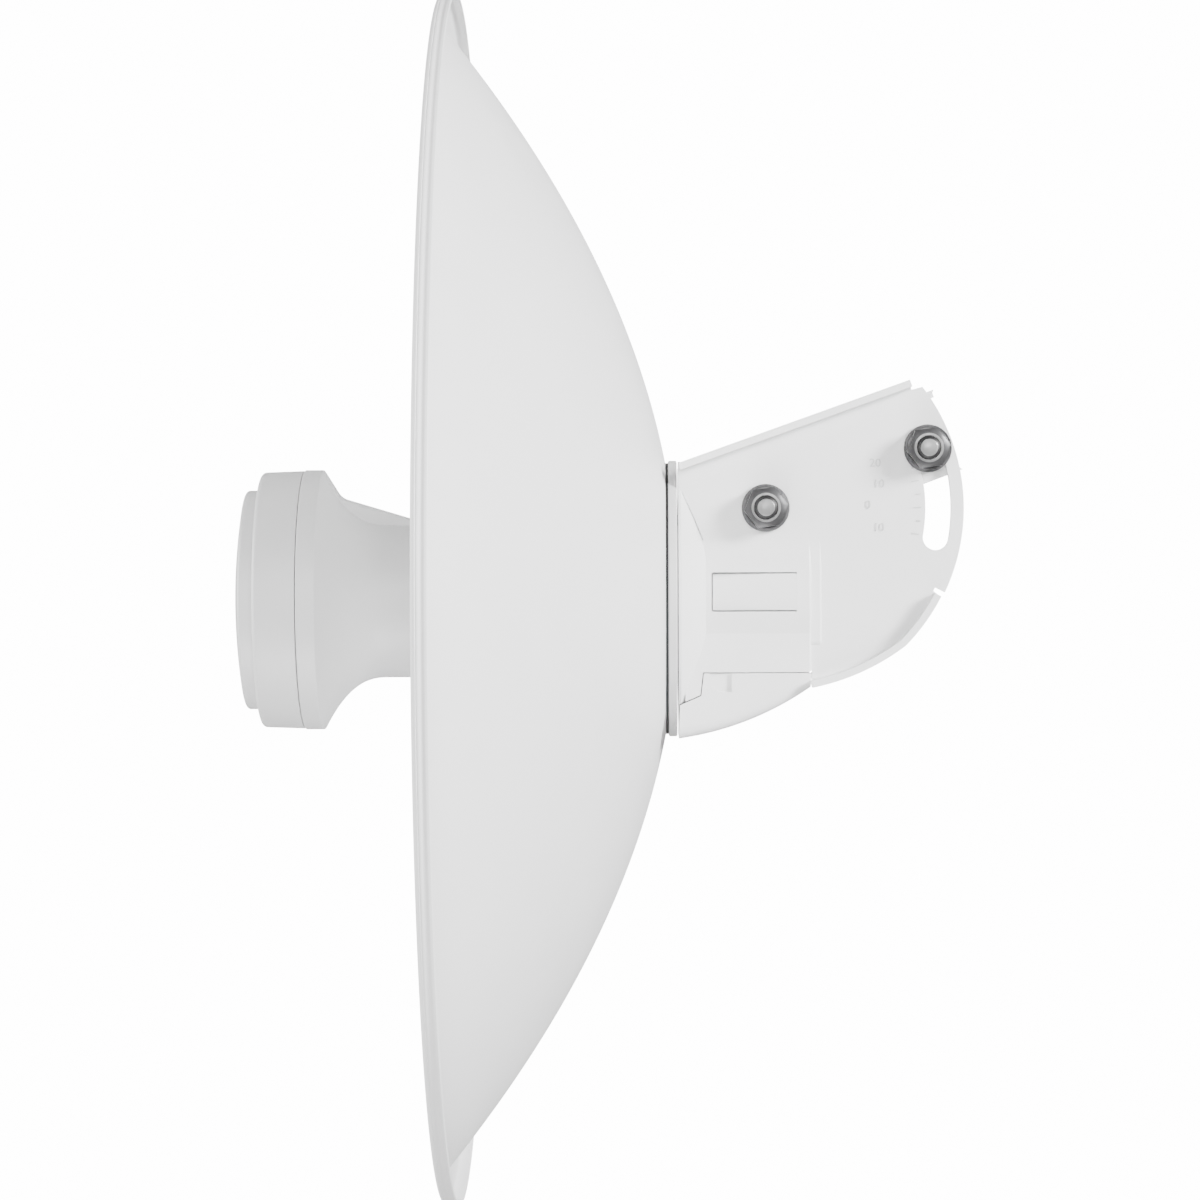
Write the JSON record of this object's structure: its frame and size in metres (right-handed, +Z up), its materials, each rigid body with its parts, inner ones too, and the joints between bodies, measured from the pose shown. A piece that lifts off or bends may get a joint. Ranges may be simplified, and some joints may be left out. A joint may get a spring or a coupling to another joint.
{
  "type": "outdoor wireless bridge",
  "caption": "Round dish antenna with a plug-in radio feed, sheet yoke arms, one with an arc slot for tilt, and a toothed bracket for a pole.",
  "frame": {"origin": "middle of the pole bracket's toothed jaws, where the pole holds the part", "axes": "+Z up with the beam level, -Y along the beam, +X to the side that carries the tilt scale; the pole leans 20 degrees from Z because the head stands at the top of its tilt range"},
  "size_m": [0.42, 0.2516, 0.42],
  "materials": {
    "white_metal": "satin",
    "white_plastic": "satin",
    "zinc": "satin",
    "black_rubber": "matte",
    "aluminium": "satin",
    "circuit_board": "satin",
    "copper": "satin",
    "black_plastic": "matte"
  },
  "bodies": {
    "pole_bracket": {"pole_bracket": "white_metal", "pivot_bolt_right": "zinc", "pivot_bolt_left": "zinc", "lock_bolt_right": "zinc"},
    "head": {"dish_reflector": "white_metal", "hub_gasket": "black_rubber", "ring_plate": "white_plastic", "hub_screw_1": "zinc", "hub_screw_2": "zinc", "hub_screw_3": "zinc", "hub_screw_4": "zinc", "rear_housing": "white_plastic", "yoke_arm_right": "white_metal", "yoke_arm_left": "white_metal"},
    "feed": {"feed_front_cap": "white_plastic", "feed_front_shell": "white_plastic", "feed_rear_shell": "white_plastic", "feed_seal": "black_rubber", "backing_reflector": "aluminium", "antenna_board": "circuit_board", "patch_post": "white_plastic", "patch_radiator": "copper", "neck_board": "circuit_board", "radio_shield": "aluminium", "ethernet_jack": "black_plastic"},
    "port_cover": {"port_cover": "white_plastic", "cable_grommet": "black_rubber"},
    "release_tab_right": {"release_tab_right": "white_plastic"},
    "release_tab_left": {"release_tab_left": "white_plastic"},
    "reset_button": {"reset_button": "black_plastic"},
    "pivot_nut_right": {"pivot_nut_right": "zinc"},
    "pivot_nut_left": {"pivot_nut_left": "zinc"},
    "lock_nut_right": {"lock_nut_right": "zinc"}
  },
  "joints": [
    {"name": "elevation_tilt", "type": "hinge", "parent": "pole_bracket", "child": "head", "pos_m": [0, -0.06215, -0.02661], "axis": [1, 0, 0], "range_deg": [0, 30]},
    {"name": "feed_pull_out", "type": "slide", "parent": "head", "child": "feed", "axis": [0, -1, 0], "range_m": [0, 0.04]},
    {"name": "port_cover_slide", "type": "slide", "parent": "head", "child": "port_cover", "axis": [0, 0, -1], "range_m": [0, 0.04]},
    {"name": "release_tab_right_press", "type": "hinge", "parent": "head", "child": "release_tab_right", "pos_m": [0.0324, -0.05315, -0.05751], "axis": [0, 0, -1], "range_deg": [0, 4], "stiffness_Nm_per_rad": 0.8},
    {"name": "release_tab_left_press", "type": "hinge", "parent": "head", "child": "release_tab_left", "pos_m": [-0.0324, -0.05315, -0.05751], "axis": [0, 0, 1], "range_deg": [0, 4], "stiffness_Nm_per_rad": 0.8},
    {"name": "reset_button_press", "type": "slide", "parent": "feed", "child": "reset_button", "axis": [0, 0, 1], "range_m": [0, 0.0008], "stiffness_N_per_m": 600},
    {"name": "pivot_nut_right_spin", "type": "hinge", "parent": "pole_bracket", "child": "pivot_nut_right", "pos_m": [0, -0.06215, -0.02661], "axis": [1, 0, 0], "continuous": true},
    {"name": "pivot_nut_left_spin", "type": "hinge", "parent": "pole_bracket", "child": "pivot_nut_left", "pos_m": [0, -0.06215, -0.02661], "axis": [1, 0, 0], "continuous": true},
    {"name": "lock_nut_right_spin", "type": "hinge", "parent": "pole_bracket", "child": "lock_nut_right", "pos_m": [0, -0.00671, -0.00643], "axis": [1, 0, 0], "continuous": true}
  ]
}
